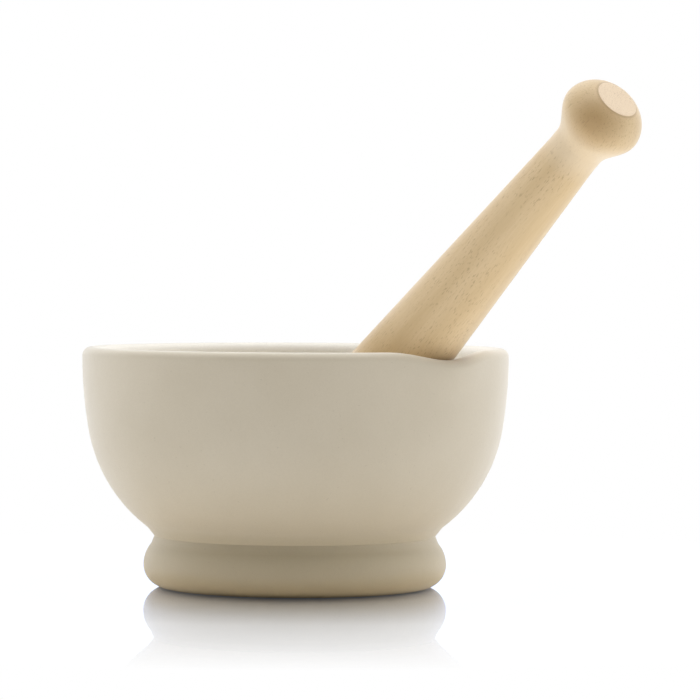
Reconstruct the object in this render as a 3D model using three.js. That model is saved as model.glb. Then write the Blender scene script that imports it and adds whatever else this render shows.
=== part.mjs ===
// Mortar and pestle: a footed ceramic bowl with a pouring lip, and a pestle that stands in the bowl
// and leans on the lip. The pestle is a turned wooden handle cemented into a ceramic grinding head.
// Millimetres. +Z is up, the origin is the centre of the foot's flat underside, and +X points at
// the middle of the pouring lip.
import * as THREE from "three";

const { PI, sin, cos, asin, atan2, sqrt, hypot, abs, max } = Math;
const degrees = PI / 180;

// Mortar: driving dimensions
const RIM_RADIUS = 80; // outer radius just below the rim
const HEIGHT = 90; // table to the rim's crest
const RIM_WALL = 7.5; // thickness of the wall at the rim
const OUTER_RIM_ROUND = 3.2; // roundings either side of the rim's flat crest
const INNER_RIM_ROUND = 3.6;
const UPPER_WALL_ARC = 167; // outside, a nearly upright arc runs down from the rim,
const UPPER_WALL_TURN = 9.4 * degrees;
const LOWER_WALL_ARC = 58; // then a tighter arc that ends in a straight flank
const LOWER_WALL_TURN = 53 * degrees;
const WAIST_FILLET = 1.3; // where the flank meets the foot
const FOOT_RADIUS = 56.9; // the foot's bulge at its widest
const FOOT_LOWER_ARC = 8.4; // quarter circle from the table to the widest point
const FOOT_SHOULDER_ARC = 12;
const FOOT_SHOULDER_TURN = 41 * degrees;
const CAVITY_RADIUS = RIM_RADIUS - RIM_WALL; // the inside is half a sphere
const CAVITY_CENTRE_HEIGHT = 89;

// Pouring lip: the rim sinks and bulges outwards over this half angle, fading out down the wall
const LIP_HALF_ANGLE = 20 * degrees;
const LIP_DIP = 3.1;
const LIP_REACH = 2.2;
const LIP_FADE_HEIGHT = 22;

// Pestle: driving dimensions, lengths along its axis from the flat on the end of the knob
const KNOB_RADIUS = 15.1;
const KNOB_UPPER_LENGTH = 12.25; // half ellipsoids, from the widest point to where they'd close
const KNOB_LOWER_LENGTH = 11.5;
const KNOB_FLAT_RADIUS = 7.4;
const NECK_RADIUS = 9.55;
const NECK_END = 29;
const NECK_BLEND = 4;
const SHAFT_FLARE = 0.054; // radius gained per millimetre from the neck to the head
const HANDLE_LENGTH = 158; // flat to the shoulder that sits on the head
const SHOULDER_ROUND = 0.8;
const SPIGOT_RADIUS = 9;
const SPIGOT_LENGTH = 24;
const SPIGOT_CHAMFER = 1;
const GLUE_GROOVES = 3;
const GLUE_GROOVE_DEPTH = 0.8;
const HEAD_RADIUS = 20; // the grinding end is half a sphere
const HEAD_CENTRE = 208.5;
const HEAD_TOP_ROUND = 1.2;
const CEMENT_THICKNESS = 1.2;
const GAP = 0.3; // between touching pieces

// Pestle at rest: its head on the middle of the cavity's floor, its shaft on the lip
const LEAN_SLOPE = 43.5 * degrees; // axis above the table
const LEAN_AZIMUTH = 2.5 * degrees; // it lies a little to one side of the lip's middle

const MORTAR_SEGMENTS = 72;
const PESTLE_SEGMENTS = 36;

const point = (radius, height) => new THREE.Vector2(radius, height);

// Points of an arc in the plane of radius and height, both ends included.
function arc(centre, radius, from, to, steps) {
  return Array.from({ length: steps + 1 }, (_, i) => {
    const angle = from + ((to - from) * i) / steps;
    return point(centre.x + radius * cos(angle), centre.y + radius * sin(angle));
  });
}

// Points of a radius function between two heights, both ends included.
function sampled(radiusAt, from, to, steps) {
  return Array.from({ length: steps + 1 }, (_, i) => {
    const height = from + ((to - from) * i) / steps;
    return point(radiusAt(height), height);
  });
}

// The fillet between two straight lines that leave a corner at the angles given.
function fillet(corner, angleA, angleB, radius, steps) {
  const half = (angleB - angleA) / 2;
  const middle = angleA + half;
  const reach = radius / sin(half);
  const centre = point(corner.x + reach * cos(middle), corner.y + reach * sin(middle));
  return arc(centre, radius, angleA - PI / 2 + 2 * PI, angleB + PI / 2, steps);
}

// Where a line through p at one angle crosses a line through q at another.
function crossing(p, angleP, q, angleQ) {
  const along =
    ((q.x - p.x) * sin(angleQ) - (q.y - p.y) * cos(angleQ)) / sin(angleQ - angleP);
  return point(p.x + along * cos(angleP), p.y + along * sin(angleP));
}

// A body of revolution about +Z. The profile starts and ends on the axis.
function lathe(profile, segments) {
  return new THREE.LatheGeometry(profile, segments).rotateX(PI / 2);
}

function mortarProfile() {
  const lowerFootCentre = point(FOOT_RADIUS - FOOT_LOWER_ARC, FOOT_LOWER_ARC);
  const shoulderCentre = point(FOOT_RADIUS - FOOT_SHOULDER_ARC, FOOT_LOWER_ARC);
  const lowerFoot = arc(lowerFootCentre, FOOT_LOWER_ARC, -PI / 2, 0, 7);
  const shoulder = arc(shoulderCentre, FOOT_SHOULDER_ARC, 0, FOOT_SHOULDER_TURN, 5);

  const upperCentre = point(RIM_RADIUS - UPPER_WALL_ARC, HEIGHT - OUTER_RIM_ROUND);
  const upperWall = arc(upperCentre, UPPER_WALL_ARC, -UPPER_WALL_TURN, 0, 5);
  const meeting = upperWall[0];
  const lowerCentre = point(
    meeting.x - LOWER_WALL_ARC * cos(UPPER_WALL_TURN),
    meeting.y + LOWER_WALL_ARC * sin(UPPER_WALL_TURN),
  );
  const lowerWall = arc(lowerCentre, LOWER_WALL_ARC, -LOWER_WALL_TURN, -UPPER_WALL_TURN, 9);

  const footAngle = FOOT_SHOULDER_TURN - PI / 2; // from the waist down the foot's shoulder
  const flankAngle = PI / 2 - LOWER_WALL_TURN; // from the waist up the flank
  const waist = crossing(shoulder.at(-1), footAngle, lowerWall[0], flankAngle);
  const waistRound = fillet(waist, footAngle, flankAngle, WAIST_FILLET, 4).reverse();

  const innerRoundHeight = HEIGHT - INNER_RIM_ROUND;
  const cavityTop = asin((innerRoundHeight - CAVITY_CENTRE_HEIGHT) / CAVITY_RADIUS);
  const cavity = arc(point(0, CAVITY_CENTRE_HEIGHT), CAVITY_RADIUS, cavityTop, -PI / 2, 16);
  cavity.at(-1).x = 0;
  const outerRound = point(RIM_RADIUS - OUTER_RIM_ROUND, HEIGHT - OUTER_RIM_ROUND);
  const innerRound = point(cavity[0].x + INNER_RIM_ROUND, innerRoundHeight);

  return [
    point(0, 0),
    ...lowerFoot,
    ...shoulder.slice(1),
    ...waistRound,
    ...lowerWall,
    ...upperWall.slice(1),
    ...arc(outerRound, OUTER_RIM_ROUND, 0, PI / 2, 5).slice(1),
    ...arc(innerRound, INNER_RIM_ROUND, PI / 2, PI, 5),
    ...cavity.slice(1),
  ];
}

// Sinks and bulges the rim over the pouring lip.
function formLip(geometry) {
  const positions = geometry.getAttribute("position");
  for (let i = 0; i < positions.count; i++) {
    const [x, y, z] = [positions.getX(i), positions.getY(i), positions.getZ(i)];
    const radius = hypot(x, y);
    const azimuth = atan2(y, x);
    const fade = THREE.MathUtils.smoothstep(z, HEIGHT - LIP_FADE_HEIGHT, HEIGHT);
    if (abs(azimuth) >= LIP_HALF_ANGLE || fade === 0) continue;
    const strength = fade * cos(((PI / 2) * azimuth) / LIP_HALF_ANGLE) ** 2;
    const outward = THREE.MathUtils.smoothstep(radius, CAVITY_RADIUS, RIM_RADIUS);
    const stretch = 1 + (LIP_REACH * outward * strength) / radius;
    positions.setXYZ(i, x * stretch, y * stretch, z - LIP_DIP * strength);
  }
  return geometry;
}

function mortarBowl() {
  const material = new THREE.MeshStandardMaterial({
    color: 0xddd3c2,
    roughness: 0.55,
    metalness: 0,
  });
  const bowl = new THREE.Mesh(formLip(lathe(mortarProfile(), MORTAR_SEGMENTS)), material);
  bowl.name = "mortar_bowl";
  return bowl;
}

// The pestle's pieces share one frame: the head's centre is the origin, and the knob is up.
const up = (distanceFromFlat) => HEAD_CENTRE - distanceFromFlat;
const shaftRadius = (fromFlat) => NECK_RADIUS + SHAFT_FLARE * max(fromFlat - NECK_END, 0);
const knobFlatOffset = KNOB_UPPER_LENGTH * sqrt(1 - (KNOB_FLAT_RADIUS / KNOB_RADIUS) ** 2);
const shoulderHeight = up(HANDLE_LENGTH);
const spigotEnd = up(HANDLE_LENGTH + SPIGOT_LENGTH);
const cementInner = SPIGOT_RADIUS + GAP;
const cementOuter = cementInner + CEMENT_THICKNESS;
const cementFloor = spigotEnd - GAP;
const cementBottom = cementFloor - CEMENT_THICKNESS;
const socketRadius = cementOuter + GAP;
const socketBottom = cementBottom - GAP;
const headTop = shoulderHeight - GAP;

// The knob's ellipsoid and the shaft's cone, run together at the neck.
function handleRadius(height) {
  const fromFlat = HEAD_CENTRE - height;
  const fromWidest = fromFlat - knobFlatOffset;
  const halfLength = fromWidest < 0 ? KNOB_UPPER_LENGTH : KNOB_LOWER_LENGTH;
  const knob = KNOB_RADIUS * sqrt(max(1 - (fromWidest / halfLength) ** 2, 0));
  if (fromWidest < 0 || knob === 0) return max(knob, shaftRadius(fromFlat));
  const blend = max(NECK_BLEND - abs(knob - shaftRadius(fromFlat)), 0);
  return max(knob, shaftRadius(fromFlat)) + blend ** 2 / (4 * NECK_BLEND);
}

function glueGrooves() {
  const pitch = SPIGOT_LENGTH / (GLUE_GROOVES + 1);
  return Array.from({ length: GLUE_GROOVES }, (_, i) => {
    const middle = spigotEnd + pitch * (i + 1);
    return [
      point(SPIGOT_RADIUS, middle - GLUE_GROOVE_DEPTH),
      point(SPIGOT_RADIUS - GLUE_GROOVE_DEPTH, middle),
      point(SPIGOT_RADIUS, middle + GLUE_GROOVE_DEPTH),
    ];
  }).flat();
}

function pestleHandle() {
  const knobEnd = up(knobFlatOffset + KNOB_LOWER_LENGTH);
  const shoulderRadius = shaftRadius(HANDLE_LENGTH);
  const shoulderCentre = point(shoulderRadius - SHOULDER_ROUND, shoulderHeight + SHOULDER_ROUND);
  const profile = [
    point(0, spigotEnd),
    point(SPIGOT_RADIUS - SPIGOT_CHAMFER, spigotEnd),
    point(SPIGOT_RADIUS, spigotEnd + SPIGOT_CHAMFER),
    ...glueGrooves(),
    point(SPIGOT_RADIUS, shoulderHeight),
    ...arc(shoulderCentre, SHOULDER_ROUND, -PI / 2, 0, 2),
    ...sampled(handleRadius, up(NECK_END), knobEnd, 5),
    ...sampled(handleRadius, knobEnd, up(0), 16).slice(1),
    point(0, up(0)),
  ];
  const material = new THREE.MeshStandardMaterial({
    color: 0xdcc193,
    roughness: 0.6,
    metalness: 0,
  });
  const handle = new THREE.Mesh(lathe(profile, PESTLE_SEGMENTS), material);
  handle.name = "pestle_handle";
  return handle;
}

function pestleHead() {
  const topRadius = shaftRadius(HANDLE_LENGTH);
  const topCentre = point(topRadius - HEAD_TOP_ROUND, headTop - HEAD_TOP_ROUND);
  const flare = (height) =>
    THREE.MathUtils.lerp(
      HEAD_RADIUS,
      topRadius,
      THREE.MathUtils.smoothstep(height, 0, topCentre.y),
    );
  const profile = [
    ...arc(point(0, 0), HEAD_RADIUS, -PI / 2, 0, 10),
    ...sampled(flare, 0, topCentre.y, 8).slice(1),
    ...arc(topCentre, HEAD_TOP_ROUND, 0, PI / 2, 3).slice(1),
    point(socketRadius, headTop),
    point(socketRadius, socketBottom),
    point(0, socketBottom),
  ];
  profile[0].x = 0;
  const material = new THREE.MeshStandardMaterial({
    color: 0xe2dacb,
    roughness: 0.5,
    metalness: 0,
  });
  const head = new THREE.Mesh(lathe(profile, PESTLE_SEGMENTS), material);
  head.name = "pestle_head";
  return head;
}

function handleCement() {
  const profile = [
    point(0, cementBottom),
    point(cementOuter, cementBottom),
    point(cementOuter, headTop),
    point(cementInner, headTop),
    point(cementInner, cementFloor),
    point(0, cementFloor),
  ];
  const material = new THREE.MeshStandardMaterial({
    color: 0xc9bd9f,
    roughness: 0.8,
    metalness: 0,
  });
  const cement = new THREE.Mesh(lathe(profile, PESTLE_SEGMENTS), material);
  cement.name = "handle_cement";
  return cement;
}

// The pestle leans in its own XZ plane, which is then turned to the lean's azimuth.
function restingPestle() {
  const headHeight = CAVITY_CENTRE_HEIGHT - CAVITY_RADIUS + HEAD_RADIUS + GAP;
  const pestle = new THREE.Group().add(pestleHandle(), pestleHead(), handleCement());
  pestle.position.z = headHeight;
  pestle.rotation.y = PI / 2 - LEAN_SLOPE;
  const leaning = new THREE.Group().add(pestle);
  leaning.rotation.z = LEAN_AZIMUTH;
  return leaning;
}

export default new THREE.Group().add(mortarBowl(), restingPestle());
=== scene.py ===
"""Looks for the mortar and pestle: fine meshes, materials, studio light and camera.

Metres, +Z up, origin under the middle of the mortar's foot, +X towards the pouring lip.
"""

from math import acos, asin, atan2, cos, hypot, pi, radians, sin, sqrt, tan

import bpy
import numpy as np
from mathutils import Matrix, Vector, noise


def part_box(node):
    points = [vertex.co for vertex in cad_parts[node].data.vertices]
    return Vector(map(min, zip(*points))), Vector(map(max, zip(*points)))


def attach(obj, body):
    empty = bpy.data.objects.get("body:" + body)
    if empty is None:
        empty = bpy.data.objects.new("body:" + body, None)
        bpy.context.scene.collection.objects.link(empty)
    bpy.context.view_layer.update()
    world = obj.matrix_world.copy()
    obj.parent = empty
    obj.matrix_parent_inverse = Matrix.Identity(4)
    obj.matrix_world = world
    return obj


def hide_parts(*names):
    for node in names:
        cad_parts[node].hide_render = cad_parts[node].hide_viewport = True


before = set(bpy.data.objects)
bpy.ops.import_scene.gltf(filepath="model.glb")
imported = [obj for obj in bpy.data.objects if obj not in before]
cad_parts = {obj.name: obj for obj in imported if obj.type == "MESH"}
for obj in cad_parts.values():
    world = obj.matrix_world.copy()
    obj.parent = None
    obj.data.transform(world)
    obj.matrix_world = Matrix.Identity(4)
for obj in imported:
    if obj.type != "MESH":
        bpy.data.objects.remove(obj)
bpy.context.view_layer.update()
MM = 0.001

# ---- Mortar: the frame gives its radius and height, and these shape its section ----
RIM_RADIUS = -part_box("mortar_bowl")[0].x
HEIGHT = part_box("mortar_bowl")[1].z
RIM_WALL = 7.5 * MM
OUTER_RIM_ROUND = 3.2 * MM
INNER_RIM_ROUND = 3.6 * MM
UPPER_WALL_ARC = 167 * MM
UPPER_WALL_TURN = radians(9.4)
LOWER_WALL_ARC = 58 * MM
LOWER_WALL_TURN = radians(53)
WAIST_FILLET = 1.3 * MM
FOOT_RADIUS = 56.9 * MM
FOOT_LOWER_ARC = 8.4 * MM
FOOT_SHOULDER_ARC = 12 * MM
FOOT_SHOULDER_TURN = radians(41)
CAVITY_RADIUS = RIM_RADIUS - RIM_WALL
CAVITY_CENTRE_HEIGHT = HEIGHT - 1 * MM
LIP_HALF_ANGLE = radians(20)
LIP_DIP = 3.1 * MM
LIP_REACH = 2.2 * MM
LIP_FADE_HEIGHT = 22 * MM
UNEVENNESS = 0.15 * MM  # of a cast body, in waves of about 1 / UNEVEN_SCALE metres
UNEVEN_SCALE = 25
LEVEL_HEIGHT = 6 * MM  # the unevenness fades out below this, so that the base stays flat

# ---- Pestle: heights run along its axis, from the head's centre up to the knob's flat ----
HEAD_RADIUS = 20 * MM
HANDLE_TOP = 208.5 * MM
SHOULDER = 50.5 * MM
KNOB_RADIUS = 15.1 * MM
KNOB_UPPER_LENGTH = 12.25 * MM
KNOB_FLARE_LENGTH = 13.5 * MM
KNOB_FLAT_RADIUS = 7.4 * MM
NECK_RADIUS = 9.55 * MM
NECK = HANDLE_TOP - 29 * MM  # the shaft widens below this height by SHAFT_FLARE
SHAFT_FLARE = 0.054
FLAT_TILT = radians(6.5)
FLAT_TILT_AZIMUTH = radians(-60.8)
SPIGOT_RADIUS = 9 * MM
SPIGOT_LENGTH = 24 * MM
SPIGOT_CHAMFER = 1 * MM
SHOULDER_ROUND = 0.8 * MM
HEAD_ROUND = 1.2 * MM
GAP = 0.3 * MM
CEMENT_THICKNESS = 1.2 * MM
CEMENT_FILM_GAP = 0.05 * MM
CEMENT_BEAD_INSET = 0.9 * MM

# ---- Steps round each turned mesh ----
MORTAR_SEGMENTS = 288
HANDLE_SEGMENTS = 144
HEAD_SEGMENTS = 96
CEMENT_SEGMENTS = 64

# ---- Camera: the photograph's viewing angle ----
CAMERA_DISTANCE = 1.4227
CAMERA_HEIGHT = 0.1251
CAMERA_AZIMUTH = radians(-45.5)
CAMERA_PITCH = 0.0253
CAMERA_YAW = 0.0143  # the mortar stands left of the picture's middle
CAMERA_ROLL = 0.0048
LENS = 194.7
CAMERA_CLIP_END = 20


def add_camera():
    camera = bpy.data.objects.new("camera", bpy.data.cameras.new("camera"))
    bpy.context.scene.collection.objects.link(camera)
    camera.data.lens = LENS
    camera.data.clip_end = CAMERA_CLIP_END
    camera.matrix_world = (
        Matrix.Translation(
            (
                CAMERA_DISTANCE * cos(CAMERA_AZIMUTH),
                CAMERA_DISTANCE * sin(CAMERA_AZIMUTH),
                CAMERA_HEIGHT,
            )
        )
        @ Matrix.Rotation(CAMERA_AZIMUTH + pi / 2 - CAMERA_YAW, 4, "Z")
        @ Matrix.Rotation(pi / 2 - CAMERA_PITCH, 4, "X")
        @ Matrix.Rotation(CAMERA_ROLL, 4, "Z")
    )
    bpy.context.scene.camera = camera


# ---- Meshes ----
def arc(centre, radius, start, end, steps):
    """Points of an arc in the plane of radius and height, both ends included."""
    angles = np.linspace(start, end, steps + 1)
    return [(centre[0] + radius * cos(a), centre[1] + radius * sin(a)) for a in angles]


def line(start, end, steps):
    """Points of a straight line, both ends included."""
    return [tuple(p) for p in np.linspace(start, end, steps + 1)]


def crossing(p, angle_p, q, angle_q):
    """Where the line through p at angle_p meets the line through q at angle_q."""
    along = ((q[0] - p[0]) * sin(angle_q) - (q[1] - p[1]) * cos(angle_q)) / sin(angle_q - angle_p)
    return p[0] + along * cos(angle_p), p[1] + along * sin(angle_p)


def fillet(corner, angle_a, angle_b, radius, steps):
    """The arc that rounds a corner between two lines that leave it at the given angles."""
    half = (angle_b - angle_a) / 2
    reach = radius / sin(half)
    centre = (
        corner[0] + reach * cos(angle_a + half),
        corner[1] + reach * sin(angle_a + half),
    )
    return arc(centre, radius, angle_a - pi / 2 + 2 * pi, angle_b + pi / 2, steps)


def smooth(value, low, high):
    """From 0 at low to 1 at high, level at both ends."""
    t = min(max((value - low) / (high - low), 0), 1)
    return t * t * (3 - 2 * t)


def lathe_mesh(name, profile, segments, shape=None):
    """A closed mesh turned about Z. The profile's first and last points are on the axis.

    shape(x, y, z) may move each point.
    """
    shape = shape or (lambda x, y, z: (x, y, z))
    rings = profile[1:-1]
    vertices = [
        shape(r * cos(a), r * sin(a), z)
        for r, z in rings
        for a in np.linspace(0, 2 * pi, segments, endpoint=False)
    ]
    vertices += [shape(0, 0, profile[0][1]), shape(0, 0, profile[-1][1])]
    first, last = len(vertices) - 2, len(vertices) - 1
    faces = []
    for s in range(segments):
        t = (s + 1) % segments
        faces.append((first, t, s))
        for ring in range(len(rings) - 1):
            a, b = ring * segments, (ring + 1) * segments
            faces.append((a + s, a + t, b + t, b + s))
        end = (len(rings) - 1) * segments
        faces.append((last, end + s, end + t))
    mesh = bpy.data.meshes.new(name)
    mesh.from_pydata(vertices, [], faces)
    mesh.polygons.foreach_set("use_smooth", [True] * len(mesh.polygons))
    mesh.update()
    return mesh


def add_piece(name, mesh, material, body, node, matrix=None):
    """Adds a mesh that rides on a body and stands for a CAD node."""
    piece = bpy.data.objects.new(name, mesh)
    bpy.context.scene.collection.objects.link(piece)
    piece.matrix_world = matrix or Matrix.Identity(4)
    mesh.materials.append(material)
    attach(piece, body)
    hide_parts(node)
    return piece


def mortar_profile():
    """From the base's centre round the foot, up the wall, over the rim and down the cavity."""
    lower_foot_centre = (FOOT_RADIUS - FOOT_LOWER_ARC, FOOT_LOWER_ARC)
    lower_foot = arc(lower_foot_centre, FOOT_LOWER_ARC, -pi / 2, 0, 20)
    shoulder = arc(
        (FOOT_RADIUS - FOOT_SHOULDER_ARC, FOOT_LOWER_ARC),
        FOOT_SHOULDER_ARC,
        0,
        FOOT_SHOULDER_TURN,
        12,
    )
    upper_centre = (RIM_RADIUS - UPPER_WALL_ARC, HEIGHT - OUTER_RIM_ROUND)
    upper_wall = arc(upper_centre, UPPER_WALL_ARC, -UPPER_WALL_TURN, 0, 26)
    meeting = upper_wall[0]
    lower_centre = (
        meeting[0] - LOWER_WALL_ARC * cos(UPPER_WALL_TURN),
        meeting[1] + LOWER_WALL_ARC * sin(UPPER_WALL_TURN),
    )
    lower_wall = arc(lower_centre, LOWER_WALL_ARC, -LOWER_WALL_TURN, -UPPER_WALL_TURN, 34)
    foot_angle = FOOT_SHOULDER_TURN - pi / 2
    flank_angle = pi / 2 - LOWER_WALL_TURN
    waist = crossing(shoulder[-1], foot_angle, lower_wall[0], flank_angle)
    waist_round = fillet(waist, foot_angle, flank_angle, WAIST_FILLET, 14)[::-1]
    inner_round_height = HEIGHT - INNER_RIM_ROUND
    cavity_top = asin((inner_round_height - CAVITY_CENTRE_HEIGHT) / CAVITY_RADIUS)
    cavity = arc((0, CAVITY_CENTRE_HEIGHT), CAVITY_RADIUS, cavity_top, -pi / 2, 60)
    outer_round = (RIM_RADIUS - OUTER_RIM_ROUND, HEIGHT - OUTER_RIM_ROUND)
    inner_round = (cavity[0][0] + INNER_RIM_ROUND, inner_round_height)
    base = line((0, 0), lower_foot[0], 12)
    return (
        base
        + lower_foot[1:]
        + shoulder[1:]
        + line(shoulder[-1], waist_round[0], 3)[1:-1]
        + waist_round
        + line(waist_round[-1], lower_wall[0], 6)[1:-1]
        + lower_wall
        + upper_wall[1:]
        + arc(outer_round, OUTER_RIM_ROUND, 0, pi / 2, 12)[1:]
        + arc(inner_round, INNER_RIM_ROUND, pi / 2, pi, 12)
        + cavity[1:]
    )


def form_mortar(x, y, z):
    """Forms the pouring lip and the slight unevenness of a cast body."""
    radius = hypot(x, y)
    if radius == 0:
        return x, y, z
    strength = 0.0
    azimuth = atan2(y, x)
    if abs(azimuth) < LIP_HALF_ANGLE:
        fade = smooth(z, HEIGHT - LIP_FADE_HEIGHT, HEIGHT)
        strength = fade * cos(pi / 2 * azimuth / LIP_HALF_ANGLE) ** 2
    outward = smooth(radius, CAVITY_RADIUS, RIM_RADIUS)
    wave = noise.noise(Vector((x, y, z)) * UNEVEN_SCALE)
    uneven = UNEVENNESS * wave * smooth(z, 0, LEVEL_HEIGHT)
    stretch = 1 + (LIP_REACH * outward * strength + uneven) / radius
    return x * stretch, y * stretch, z - LIP_DIP * strength


def shaft_radius(height):
    return NECK_RADIUS + SHAFT_FLARE * max(NECK - height, 0)


KNOB_CENTRE = HANDLE_TOP - KNOB_UPPER_LENGTH * sqrt(1 - (KNOB_FLAT_RADIUS / KNOB_RADIUS) ** 2)


def handle_radius(height):
    """A half ellipse above the knob's widest ring, and below it a soft flare from the neck."""
    if height > KNOB_CENTRE:
        return KNOB_RADIUS * sqrt(max(1 - ((height - KNOB_CENTRE) / KNOB_UPPER_LENGTH) ** 2, 0))
    flare = smooth(height, KNOB_CENTRE - KNOB_FLARE_LENGTH, KNOB_CENTRE)
    return shaft_radius(height) + (KNOB_RADIUS - shaft_radius(height)) * flare


def tilt_flat(x, y, z):
    """Tilts the knob's sanded flat, and moves the knob's surface round it to meet its edge."""
    rise = (z - KNOB_CENTRE) / KNOB_UPPER_LENGTH
    if rise <= 0:
        return x, y, z
    radius = hypot(x, y)
    azimuth = atan2(y, x)
    fall = tan(FLAT_TILT) * cos(azimuth - FLAT_TILT_AZIMUTH)
    flat_rise = HANDLE_TOP - KNOB_CENTRE
    upright_edge = acos(flat_rise / KNOB_UPPER_LENGTH)
    edge = atan2(fall * KNOB_RADIUS, KNOB_UPPER_LENGTH) + acos(
        flat_rise / hypot(KNOB_UPPER_LENGTH, fall * KNOB_RADIUS)
    )
    here = atan2(radius / KNOB_RADIUS, rise)
    if here <= upright_edge + 1e-6:
        new_radius = radius * sin(edge) / sin(upright_edge)
        new_z = z - fall * new_radius
    else:
        polar = edge + (here - upright_edge) * (pi / 2 - edge) / (pi / 2 - upright_edge)
        new_radius = KNOB_RADIUS * sin(polar)
        new_z = KNOB_CENTRE + KNOB_UPPER_LENGTH * cos(polar)
    return new_radius * cos(azimuth), new_radius * sin(azimuth), new_z


def handle_profile():
    """From the spigot's end up the shaft and over the knob to the middle of its flat."""
    spigot_end = SHOULDER - SPIGOT_LENGTH
    shoulder_edge = shaft_radius(SHOULDER) - SHOULDER_ROUND
    shaft_start = SHOULDER + SHOULDER_ROUND * 1.5
    knob_start = KNOB_CENTRE - KNOB_FLARE_LENGTH
    flat_angle = asin((HANDLE_TOP - KNOB_CENTRE) / KNOB_UPPER_LENGTH)
    shaft = np.linspace(shaft_start, knob_start, 60)
    lower_knob = np.linspace(knob_start, KNOB_CENTRE, 40)
    upper_knob = KNOB_CENTRE + KNOB_UPPER_LENGTH * np.sin(np.linspace(0, flat_angle, 30))
    turned = [(handle_radius(z), z) for z in (*shaft, *lower_knob[1:], *upper_knob[1:])]
    edge_radius, edge_height = turned[-1]
    # A narrow step that keeps the flat's edge crisp
    step = (edge_radius - 0.15 * MM, edge_height + 0.02 * MM)
    return (
        [(0, spigot_end)]
        + line((0, spigot_end), (SPIGOT_RADIUS - SPIGOT_CHAMFER, spigot_end), 4)[1:]
        + line((SPIGOT_RADIUS, spigot_end + SPIGOT_CHAMFER), (SPIGOT_RADIUS, SHOULDER), 12)
        + line((SPIGOT_RADIUS, SHOULDER), (shoulder_edge, SHOULDER), 4)[1:]
        + arc((shoulder_edge, SHOULDER + SHOULDER_ROUND), SHOULDER_ROUND, -pi / 2, 0, 6)[1:]
        + turned
        + line(step, (0, edge_height), 8)
    )


def head_profile():
    """From the head's round end up its flare, over its top edge and down into the socket."""
    top = SHOULDER - GAP
    top_radius = shaft_radius(SHOULDER)
    socket_radius = SPIGOT_RADIUS + CEMENT_THICKNESS + 2 * GAP
    socket_bottom = SHOULDER - SPIGOT_LENGTH - CEMENT_THICKNESS - 2 * GAP
    flare_top = top - HEAD_ROUND
    round_centre = (top_radius - HEAD_ROUND, flare_top)
    flare = [
        (HEAD_RADIUS + (top_radius - HEAD_RADIUS) * smooth(z, 0, flare_top), z)
        for z in np.linspace(0, flare_top, 30)
    ]
    return (
        [(0, -HEAD_RADIUS)]
        + arc((0, 0), HEAD_RADIUS, -pi / 2, 0, 36)[1:]
        + flare[1:]
        + arc(round_centre, HEAD_ROUND, 0, pi / 2, 8)[1:]
        + line((round_centre[0], top), (socket_radius, top), 3)[1:]
        + line((socket_radius, top), (socket_radius, socket_bottom), 10)[1:]
        + line((socket_radius, socket_bottom), (0, socket_bottom), 4)[1:]
    )


def cement_profile():
    """A cup round the spigot, with the thin ring that squeezes out between shoulder and head."""
    inner = SPIGOT_RADIUS + GAP
    outer = inner + CEMENT_THICKNESS
    floor = SHOULDER - SPIGOT_LENGTH - GAP
    bead = shaft_radius(SHOULDER) - CEMENT_BEAD_INSET
    low, high = SHOULDER - GAP + CEMENT_FILM_GAP, SHOULDER - CEMENT_FILM_GAP
    return (
        line((0, floor - CEMENT_THICKNESS), (outer, floor - CEMENT_THICKNESS), 4)
        + line((outer, floor - CEMENT_THICKNESS), (outer, low), 8)[1:]
        + line((outer, low), (bead, low), 4)[1:]
        + [(bead + 0.1 * MM, (low + high) / 2)]
        + line((bead, high), (inner, high), 4)
        + line((inner, high), (inner, floor), 8)[1:]
        + line((inner, floor), (0, floor), 4)[1:]
    )


def pestle_matrix():
    """The pestle's own frame, found from the CAD handle's long axis and the knob's flat on it."""
    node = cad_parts["pestle_handle"]
    points = np.array([v.co for v in node.data.vertices])
    long_axis = np.linalg.svd(points - points.mean(0), full_matrices=False)[2][0]
    axis = Vector(long_axis) * (1 if long_axis[2] > 0 else -1)
    along = points @ np.array(axis)
    end = points[along > along.max() - 0.01 * MM].mean(0)
    origin = Vector(end) - axis * HANDLE_TOP
    side = Vector((0, 0, 1)).cross(axis).normalized()
    forward = side.cross(axis)
    turn = Matrix((forward, side, axis)).transposed().to_4x4()
    return Matrix.Translation(origin) @ turn


# ---- Materials: colours are linear, and heights are up the mortar's or the pestle's own axis ----
def rgb(red, green, blue):
    return (red, green, blue, 1.0)


MORTAR_COLOUR = rgb(0.66, 0.59, 0.465)
MORTAR_SHADE = rgb(0.63, 0.56, 0.435)
# Painted light: the cavity's paler colour stands in for the light gathered inside the bowl
MORTAR_CAVITY_PAINTED_LIGHT = rgb(0.95, 0.91, 0.83)
# Painted shade: the foot's darker, yellower colour stands in for the shade under the bowl
MORTAR_FOOT_PAINTED_SHADE = rgb(0.56, 0.47, 0.27)
HEAD_COLOUR = rgb(0.70, 0.635, 0.51)
HEAD_SHADE = rgb(0.67, 0.605, 0.48)
CERAMIC_GRAIN = rgb(0.42, 0.36, 0.27)
CERAMIC_SPECK = rgb(0.33, 0.27, 0.20)
CERAMIC_IOR = 1.48
CERAMIC_SHEEN = 0.55

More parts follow.
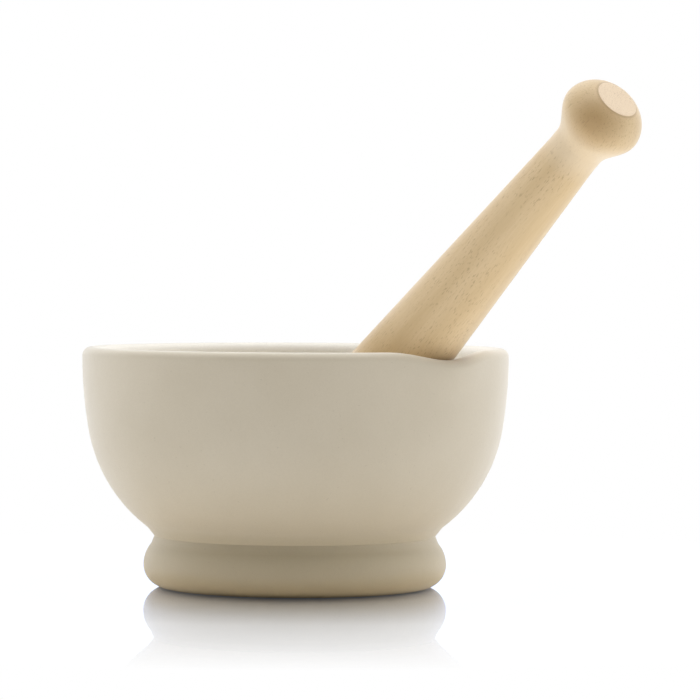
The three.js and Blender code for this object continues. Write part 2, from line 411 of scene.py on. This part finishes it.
WOOD_DARK_RING = rgb(0.74, 0.555, 0.315)
WOOD_PALE_RING = rgb(0.77, 0.585, 0.345)
WOOD_STREAK = rgb(0.67, 0.485, 0.26)
WOOD_FIBRE = rgb(0.625, 0.445, 0.23)
# Painted shade: darker wood just above the bowl's lip
WOOD_LIP_SHADE = rgb(0.50, 0.33, 0.12)
# Painted highlight: paler wood in the neck's hollow
WOOD_NECK_HIGHLIGHT = rgb(0.90, 0.75, 0.55)
# Painted shade on the knob's side
WOOD_KNOB_SHADE = rgb(0.535, 0.355, 0.165)
# Painted shadow: a thin dark line round the edge of the knob's flat
WOOD_FLAT_EDGE_SHADOW = rgb(0.42, 0.27, 0.14)
WOOD_FLAT = rgb(0.91, 0.73, 0.52)
WOOD_FLAT_FIBRE = rgb(0.85, 0.66, 0.45)
WOOD_PORE = rgb(0.36, 0.22, 0.10)
WOOD_SHEEN = 0.5
RINGS_PER_METRE = 520
LIP_SHADE_HEIGHT = (90 * MM, 76 * MM)  # where the painted shade above the bowl's lip starts and where it is full
# Painted highlight in the neck's hollow, which faces up to the light: where it grows and where it
# fades
NECK_HIGHLIGHT_START = (NECK - 5 * MM, NECK + 3 * MM)
NECK_HIGHLIGHT_END = (NECK + 20 * MM, NECK + 11 * MM)
# Painted shade: a darker patch on the side of the knob, centred here in the pestle's own frame
KNOB_SHADE_CENTRE = (6.0 * MM, -13.8 * MM, KNOB_CENTRE + 3.8 * MM)
KNOB_SHADE_RADIUS = 13.5 * MM

CEMENT_COLOUR = rgb(0.50, 0.43, 0.30)
CEMENT_GRAIN = rgb(0.62, 0.55, 0.42)
SHEEN_ROUGHNESS = 0.4
FINE_BUMP = 0.0002


class Nodes:
    """A new material's node tree, with short ways to add nodes."""

    def __init__(self, name):
        self.material = bpy.data.materials.new(name)
        self.material.use_nodes = True
        self.tree = self.material.node_tree
        self.shader = self.tree.nodes["Principled BSDF"]

    def add(self, kind, **inputs):
        node = self.tree.nodes.new("ShaderNode" + kind)
        for key, value in inputs.items():
            self.set(node, key.replace("_", " "), value)
        return node

    def set(self, node, socket, value):
        """Links a node's input to a socket, or sets it to a number or colour."""
        target = node.inputs[int(socket) if socket.isdigit() else socket]
        if isinstance(value, bpy.types.NodeSocket):
            self.tree.links.new(value, target)
        else:
            target.default_value = value

    def maths(self, operation, a, b=0.0):
        node = self.tree.nodes.new("ShaderNodeMath")
        node.operation = operation
        self.set(node, "0", a)
        self.set(node, "1", b)
        return node.outputs[0]

    def measure(self, operation, point, other=(0, 0, 0)):
        """The number that a vector operation gives, such as a distance."""
        node = self.tree.nodes.new("ShaderNodeVectorMath")
        node.operation = operation
        self.set(node, "0", point)
        self.set(node, "1", other)
        return node.outputs["Value"]

    def object_point(self, scale=(1, 1, 1)):
        coordinates = self.tree.nodes.new("ShaderNodeTexCoord")
        mapping = self.add("Mapping", Vector=coordinates.outputs["Object"], Scale=scale)
        return mapping.outputs[0]

    def noise(self, point, scale, detail=3.0, roughness=0.5):
        node = self.add("TexNoise", Vector=point, Scale=scale, Detail=detail, Roughness=roughness)
        return node.outputs["Fac"]

    def remap(self, value, low, high, to_low=0.0, to_high=1.0):
        node = self.add("MapRange")
        for socket, number in zip("01234", (value, low, high, to_low, to_high)):
            self.set(node, socket, number)
        return node.outputs[0]

    def mix(self, factor, a, b):
        node = self.tree.nodes.new("ShaderNodeMix")
        node.data_type = "RGBA"
        self.set(node, "0", factor)
        self.set(node, "6", a)
        self.set(node, "7", b)
        return node.outputs[2]

    def mix_shaders(self, factor, a, b):
        node = self.add("MixShader")
        for socket, value in zip("012", (factor, a, b)):
            self.set(node, socket, value)
        return node.outputs[0]

    def bump(self, height, strength, distance, normal=None):
        node = self.add("Bump", Strength=strength, Distance=distance, Height=height)
        if normal:
            self.set(node, "Normal", normal)
        return node.outputs[0]

    def shade(self, **inputs):
        """Sets inputs of the material's Principled shader."""
        for key, value in inputs.items():
            self.set(self.shader, key.replace("_", " "), value)


def mortar_painted_light_and_shade(nodes, point, base):
    """Painted light and shade: a lighter cavity for the light the bowl gathers, and painted shade
    under the bowl that makes the foot darker and yellower, most above its widest ring.
    """
    reach = nodes.measure("DISTANCE", point, (0, 0, CAVITY_CENTRE_HEIGHT))
    # Painted light: the cavity is painted lighter, fading out across the rim, for the light the
    # bowl gathers
    cavity = nodes.remap(reach, CAVITY_RADIUS + 1.5 * MM, RIM_RADIUS - 1 * MM, 1, 0)
    base = nodes.mix(cavity, base, MORTAR_CAVITY_PAINTED_LIGHT)
    height = nodes.add("SeparateXYZ", Vector=point).outputs[2]
    # Painted shade under the bowl: the foot is tinted darker and yellower, more on its shoulder by
    # the waist's crease
    foot_shade_ramp = nodes.remap(height, 23 * MM, 16 * MM, 0, 0.3)
    shoulder = nodes.remap(height, 10 * MM, 15 * MM, 0, 0.35)
    foot_shade = nodes.maths("MULTIPLY", foot_shade_ramp, nodes.maths("ADD", shoulder, 1.0))
    return nodes.mix(foot_shade, base, MORTAR_FOOT_PAINTED_SHADE)


def ceramic_material(name, colour, shade, tones=None):
    """Unglazed ceramic: soft clouds of colour, fine grain, a few darker specks.

    tones(nodes, point, base) may change the colour from place to place.
    """
    nodes = Nodes(name)
    point = nodes.object_point()
    cloud = nodes.noise(point, 28, 4)
    grain = nodes.noise(point, 1600, 3, 0.6)
    speck = nodes.remap(nodes.noise(point, 900, 2), 0.70, 0.78)
    base = nodes.mix(nodes.remap(cloud, 0.35, 0.65), colour, shade)
    if tones:
        base = tones(nodes, point, base)
    fine = nodes.mix(nodes.remap(grain, 0.3, 0.7, 0.0, 0.10), base, CERAMIC_GRAIN)
    ripple = nodes.bump(nodes.noise(point, 90, 2), 0.25, 0.0006)
    nodes.shade(
        Base_Color=nodes.mix(nodes.maths("MULTIPLY", speck, 0.25), fine, CERAMIC_SPECK),
        Roughness=nodes.remap(grain, 0.3, 0.7, 0.42, 0.55),
        IOR=CERAMIC_IOR,
        Sheen_Weight=CERAMIC_SHEEN,
        Sheen_Roughness=SHEEN_ROUGHNESS,
        Normal=nodes.bump(grain, 0.12, FINE_BUMP, ripple),
    )
    return nodes.material


def wood_material():
    """Pale beech: fine fibres along the turning axis, faint rings, short pores in loose clusters.

    Its colour changes up the handle: painted shade just above the bowl's lip, a painted highlight
    at the neck, and on the knob a patch of painted shade, a sanded flat and a thin painted shadow
    round the flat's edge.
    """
    nodes = Nodes("beech")
    point = nodes.object_point()
    along = nodes.object_point((1, 1, 0.045))
    fibre = nodes.noise(along, 1500, 4, 0.6)
    streak = nodes.noise(along, 260, 3)
    place = nodes.add("SeparateXYZ", Vector=point)
    height = place.outputs[2]

    wander = nodes.noise(nodes.object_point((1, 1, 0.25)), 22, 2)
    ring = nodes.maths(
        "ADD",
        nodes.maths("MULTIPLY", place.outputs[0], RINGS_PER_METRE),
        nodes.maths("MULTIPLY", wander, 5),
    )
    rings = nodes.maths("SINE", nodes.maths("MULTIPLY", ring, 1.4))
    base = nodes.mix(nodes.remap(rings, -1, 1), WOOD_DARK_RING, WOOD_PALE_RING)
    base = nodes.mix(nodes.remap(streak, 0.35, 0.7, 0, 0.35), base, WOOD_STREAK)
    base = nodes.mix(nodes.remap(fibre, 0.35, 0.65, 0, 0.25), base, WOOD_FIBRE)

    # Painted shade where the handle rests on the bowl's lip
    base = nodes.mix(nodes.remap(height, *LIP_SHADE_HEIGHT, 0, 0.4), base, WOOD_LIP_SHADE)
    # Painted highlight: a pale band at the neck
    neck_highlight = nodes.maths(
        "MULTIPLY",
        nodes.remap(height, *NECK_HIGHLIGHT_START),
        nodes.remap(height, *NECK_HIGHLIGHT_END),
    )
    base = nodes.mix(nodes.maths("MULTIPLY", neck_highlight, 0.5), base, WOOD_NECK_HIGHLIGHT)
    # Painted shade: a darker patch on the knob's side
    from_knob_shade = nodes.measure("DISTANCE", point, KNOB_SHADE_CENTRE)
    knob_shade = nodes.remap(from_knob_shade, KNOB_SHADE_RADIUS, 0.2 * KNOB_SHADE_RADIUS)
    base = nodes.mix(knob_shade, base, WOOD_KNOB_SHADE)

    fall = (tan(FLAT_TILT) * cos(FLAT_TILT_AZIMUTH), tan(FLAT_TILT) * sin(FLAT_TILT_AZIMUTH))
    level = nodes.measure("DOT_PRODUCT", point, (*fall, 1))
    # Painted shadow: a thin dark ring round the flat's edge
    edge = nodes.remap(level, HANDLE_TOP - 0.6 * MM, HANDLE_TOP - 0.2 * MM)
    base = nodes.mix(nodes.maths("MULTIPLY", edge, 0.5), base, WOOD_FLAT_EDGE_SHADOW)
    flat = nodes.remap(level, HANDLE_TOP - 0.15 * MM, HANDLE_TOP - 0.05 * MM)
    flat_colour = nodes.mix(nodes.remap(fibre, 0.3, 0.7), WOOD_FLAT, WOOD_FLAT_FIBRE)
    base = nodes.mix(flat, base, flat_colour)

    clusters = nodes.remap(nodes.noise(nodes.object_point((1, 1, 0.4)), 70, 2), 0.36, 0.54)
    # Fewer pores under the neck's painted highlight
    clusters = nodes.maths("MULTIPLY", clusters, nodes.remap(neck_highlight, 0, 1, 1, 0.35))
    pore_noise = nodes.noise(nodes.object_point((1, 1, 0.2)), 2500, 1, 0.4)
    pores = nodes.maths("MULTIPLY", nodes.remap(pore_noise, 0.60, 0.71), clusters)
    nodes.shade(
        Base_Color=nodes.mix(nodes.maths("MULTIPLY", pores, 0.42), base, WOOD_PORE),
        Roughness=nodes.remap(fibre, 0.3, 0.7, 0.48, 0.62),
        Sheen_Weight=WOOD_SHEEN,
        Sheen_Roughness=SHEEN_ROUGHNESS,
        Normal=nodes.bump(fibre, 0.12, FINE_BUMP, nodes.bump(pores, -0.5, FINE_BUMP)),
    )
    return nodes.material


def cement_material():
    nodes = Nodes("cement")
    grain = nodes.noise(nodes.object_point(), 1200, 3)
    nodes.shade(
        Base_Color=nodes.mix(grain, CEMENT_COLOUR, CEMENT_GRAIN),
        Roughness=nodes.remap(grain, 0.3, 0.7, 0.6, 0.8),
        Normal=nodes.bump(grain, 0.3, FINE_BUMP),
    )
    return nodes.material


# ---- Studio ----
WHITE = rgb(1, 1, 1)
# Each light grows between two cosines of the angle from its direction, from dim to bright
SIDE_LIGHT = (-0.86, 0.32, 0.0, 1.19)
SIDE_LIGHT_AZIMUTH = CAMERA_AZIMUTH + pi - radians(8)
TOP_LIGHT = (0.6, 1.0, 0.0, 1.25)
FLOOR = -0.1 * MM  # just under the foot, so that the two faces stay apart
FLOOR_SIZE = 6.0
MIRROR_COLOUR = rgb(1.12, 1.24, 1.6)  # turns the cream ceramic's reflection grey, as in the photo
MIRROR_START = 57 * MM
MIRROR_END = 287 * MM
MIRROR_STRENGTH = 0.9
# Painted contact shadow: the floor's white dims round the foot
CONTACT_START = 60 * MM
CONTACT_END = 150 * MM
CONTACT_SHADE = 0.4
# Painted shade: the floor's bounced light is warmer and dimmer near the foot, for the shade under
# the bowl
BOUNCE_START = 62 * MM
BOUNCE_END = 110 * MM
BOUNCE_SHADE_NEAR_FOOT = rgb(1.0, 0.90, 0.73)


def add_floor():
    """A white floor that runs out of sight, with a mirror of the object that fades outwards.

    The camera sees it white under any light, apart from a painted contact shadow that dims it
    round the foot. The object gets bounced light from it, painted warmer and dimmer near the foot
    as shade under the bowl.
    """
    mesh = bpy.data.meshes.new("floor")
    size = FLOOR_SIZE
    corners = ((-size, -size), (size, -size), (size, size), (-size, size))
    mesh.from_pydata([(x, y, FLOOR) for x, y in corners], [], [(0, 1, 2, 3)])
    floor = bpy.data.objects.new("floor", mesh)
    bpy.context.scene.collection.objects.link(floor)
    nodes = Nodes("floor")
    distance = nodes.measure("LENGTH", nodes.object_point())
    mirror = nodes.remap(distance, MIRROR_START, MIRROR_END, MIRROR_STRENGTH, 0)
    glossy = nodes.add("BsdfAnisotropic", Color=MIRROR_COLOUR, Roughness=0.0)
    # Painted contact shadow round the foot
    painted_contact_shadow = nodes.remap(distance, CONTACT_START, CONTACT_END, CONTACT_SHADE, 1)
    white = nodes.add("Emission", Color=WHITE, Strength=painted_contact_shadow)
    seen = nodes.mix_shaders(mirror, white.outputs[0], glossy.outputs[0])
    # Painted shade in the bounced light near the foot
    away = nodes.remap(distance, BOUNCE_START, BOUNCE_END)
    lit = nodes.add("BsdfDiffuse", Color=nodes.mix(away, BOUNCE_SHADE_NEAR_FOOT, WHITE))
    path = nodes.tree.nodes.new("ShaderNodeLightPath")
    shown = nodes.mix_shaders(path.outputs["Is Camera Ray"], lit.outputs[0], seen)
    nodes.set(nodes.tree.nodes["Material Output"], "Surface", shown)
    nodes.tree.nodes.remove(nodes.shader)
    mesh.materials.append(nodes.material)


def add_world():
    """Surroundings that light the object from behind and above.

    The camera and the floor's mirror see them plain white.
    """
    scene = bpy.context.scene
    world = bpy.data.worlds.new("studio")
    scene.world = world
    world.use_nodes = True
    tree = world.node_tree
    background = tree.nodes["Background"]
    coordinates = tree.nodes.new("ShaderNodeTexCoord")

    def facing(direction, low, high, dim, bright):
        dot = tree.nodes.new("ShaderNodeVectorMath")
        dot.operation = "DOT_PRODUCT"
        dot.inputs[1].default_value = direction
        tree.links.new(coordinates.outputs["Generated"], dot.inputs[0])
        ramp = tree.nodes.new("ShaderNodeMapRange")
        ramp.interpolation_type = "SMOOTHSTEP"
        tree.links.new(dot.outputs["Value"], ramp.inputs[0])
        for socket, number in enumerate((low, high, dim, bright), 1):
            ramp.inputs[socket].default_value = number
        return ramp.outputs[0]

    def maths(operation, a, b):
        node = tree.nodes.new("ShaderNodeMath")
        node.operation = operation
        tree.links.new(a, node.inputs[0])
        tree.links.new(b, node.inputs[1])
        return node.outputs[0]

    side = facing((cos(SIDE_LIGHT_AZIMUTH), sin(SIDE_LIGHT_AZIMUTH), 0), *SIDE_LIGHT)
    above = facing((0, 0, 1), *TOP_LIGHT)
    path = tree.nodes.new("ShaderNodeLightPath").outputs
    shown = tree.nodes.new("ShaderNodeMix")
    plain = maths("MAXIMUM", path["Is Camera Ray"], path["Is Singular Ray"])
    tree.links.new(plain, shown.inputs[0])
    tree.links.new(maths("ADD", side, above), shown.inputs[2])
    shown.inputs[3].default_value = 1.0
    tree.links.new(shown.outputs[0], background.inputs["Strength"])
    background.inputs["Color"].default_value = WHITE
    scene.view_settings.view_transform = "Standard"


def build():
    pestle = pestle_matrix()
    mortar_ceramic = ceramic_material("mortar_ceramic", MORTAR_COLOUR, MORTAR_SHADE, mortar_painted_light_and_shade)
    head_ceramic = ceramic_material("head_ceramic", HEAD_COLOUR, HEAD_SHADE)
    add_piece(
        "mortar",
        lathe_mesh("mortar", mortar_profile(), MORTAR_SEGMENTS, form_mortar),
        mortar_ceramic,
        "mortar",
        "mortar_bowl",
    )
    add_piece(
        "head",
        lathe_mesh("head", head_profile(), HEAD_SEGMENTS),
        head_ceramic,
        "pestle",
        "pestle_head",
        pestle,
    )
    add_piece(
        "handle",
        lathe_mesh("handle", handle_profile(), HANDLE_SEGMENTS, tilt_flat),
        wood_material(),
        "pestle",
        "pestle_handle",
        pestle,
    )
    add_piece(
        "cement",
        lathe_mesh("cement", cement_profile(), CEMENT_SEGMENTS),
        cement_material(),
        "pestle",
        "handle_cement",
        pestle,
    )


add_camera()
build()
add_floor()
add_world()
